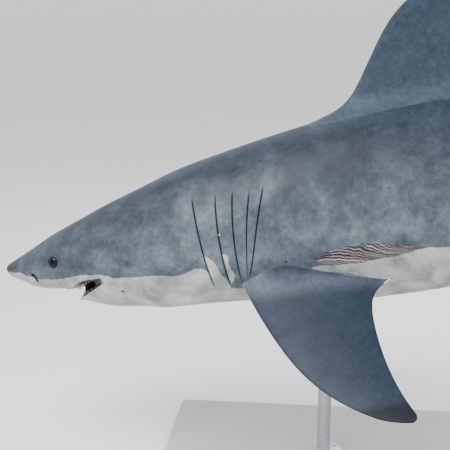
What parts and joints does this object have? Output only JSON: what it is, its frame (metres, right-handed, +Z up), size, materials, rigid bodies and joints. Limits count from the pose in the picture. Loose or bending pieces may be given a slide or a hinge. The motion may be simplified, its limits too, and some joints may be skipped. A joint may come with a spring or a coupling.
{
  "type": "great white shark display model",
  "caption": "Life-size still great white shark, nose-down cruising pose with parted jaws, on a flat plinth with two rods.",
  "frame": {"origin": "centre of the plinth's underside, on the floor", "axes": "+Z up, +X along the shark towards its tail, -Y to its left side"},
  "size_m": [3.9807, 1.7084, 2.3542],
  "materials": {
    "hide_grey": "wet satin hide with fine denticle grain, slate grey-blue above and white below with a ragged edge",
    "hide_white": "satin off-white hide with fine denticle grain",
    "eye": "polished near-black eye",
    "stand_plinth": "matt pale grey paint",
    "stand_steel": "brushed stainless steel rod with a turned flange and collar"
  },
  "bodies": {
    "root": {"head": "hide_grey", "lower_jaw": "hide_white", "gills": "hide_grey", "trunk_front": "hide_grey", "trunk_rear": "hide_grey", "tail_stock": "hide_grey", "caudal_fin_upper": "hide_grey", "caudal_fin_lower": "hide_grey", "dorsal_fin": "hide_grey", "second_dorsal_fin": "hide_grey", "anal_fin": "hide_white", "pectoral_fin_left": "hide_grey", "pectoral_fin_right": "hide_grey", "pelvic_fin_left": "hide_white", "pelvic_fin_right": "hide_white", "eye_left": "eye", "eye_right": "eye", "stand_base": "stand_plinth", "stand_rod_front": "stand_steel", "stand_rod_rear": "stand_steel"}
  },
  "joints": []
}
